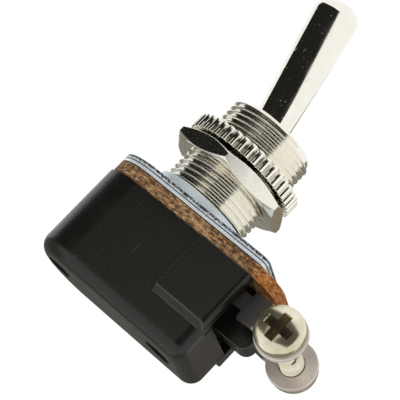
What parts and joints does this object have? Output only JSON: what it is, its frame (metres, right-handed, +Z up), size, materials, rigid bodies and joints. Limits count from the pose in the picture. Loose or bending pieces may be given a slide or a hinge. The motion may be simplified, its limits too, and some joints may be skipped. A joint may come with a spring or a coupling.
{
  "type": "panel toggle switch",
  "caption": "Panel-mount toggle switch: bat lever in a threaded bushing with hexagon and knurled nuts, dark moulded body, screw terminals at one end.",
  "frame": {"origin": "on the bushing axis at the top face of the mounting plate, where a panel seats", "axes": "+Z up the bushing axis towards the lever, +X along the body towards the screw terminals, +Y across the body by the right-hand rule"},
  "size_m": [0.0341, 0.0172, 0.0476],
  "materials": {
    "moulding": "semi-gloss black phenolic",
    "fibre": "raw brown fibre sheet",
    "plated_steel": "zinc plated",
    "nickel": "bright nickel plated",
    "screw_steel": "bright plated",
    "terminal_brass": "tinned",
    "contact_brass": "plain",
    "contact_silver": "silver face",
    "rivet_steel": "dull",
    "spring_steel": "bright"
  },
  "bodies": {
    "body": {"housing": "moulding", "insulator_plate": "fibre", "frame_plate": "plated_steel", "mounting_plate": "plated_steel", "bushing": "nickel", "rocker_pin": "rivet_steel", "rocker_support": "contact_brass", "terminal_front": "terminal_brass", "terminal_rear": "terminal_brass", "fixed_contact": "contact_silver", "case_rivet_left": "rivet_steel", "case_rivet_right": "rivet_steel"},
    "lever": {"lever": "nickel", "pivot_pin": "rivet_steel", "plunger_spring": "spring_steel"},
    "plunger": {"plunger": "contact_brass"},
    "rocker": {"rocker": "contact_brass", "moving_contact": "contact_silver"},
    "hex_nut": {"hex_nut": "nickel"},
    "knurled_nut": {"knurled_nut": "nickel"},
    "screw_front": {"terminal_screw_front": "screw_steel"},
    "screw_rear": {"terminal_screw_rear": "screw_steel"}
  },
  "joints": [
    {"name": "lever_tilt", "type": "hinge", "parent": "body", "child": "lever", "pos_m": [0, 0, 0.0106], "axis": [0, 1, 0], "range_deg": [0, 28]},
    {"name": "rocker_tilt", "type": "hinge", "parent": "body", "child": "rocker", "pos_m": [0, 0, -0.007], "axis": [0, 1, 0], "range_deg": [-16, 0]},
    {"name": "plunger_slide", "type": "slide", "parent": "lever", "child": "plunger", "axis": [-0.2419, 0, 0.9703], "range_m": [0, 0.0008], "stiffness_N_per_m": 500, "springref_m": -0.002, "deforming": ["plunger_spring"]},
    {"name": "hex_nut_travel", "type": "slide", "parent": "body", "child": "hex_nut", "axis": [0, 0, 1], "range_m": [-0.0035, 0]},
    {"name": "knurled_nut_travel", "type": "slide", "parent": "body", "child": "knurled_nut", "axis": [0, 0, 1], "range_m": [0, 0.0036]},
    {"name": "terminal_screw_front_travel", "type": "slide", "parent": "body", "child": "screw_front", "axis": [0, -1, 0], "range_m": [0, 0.0025]},
    {"name": "terminal_screw_rear_travel", "type": "slide", "parent": "body", "child": "screw_rear", "axis": [0, 1, 0], "range_m": [0, 0.0025]}
  ],
  "couplings": [
    {"joint": "rocker_tilt", "follows": "lever_tilt", "ratio": -0.57143}
  ]
}
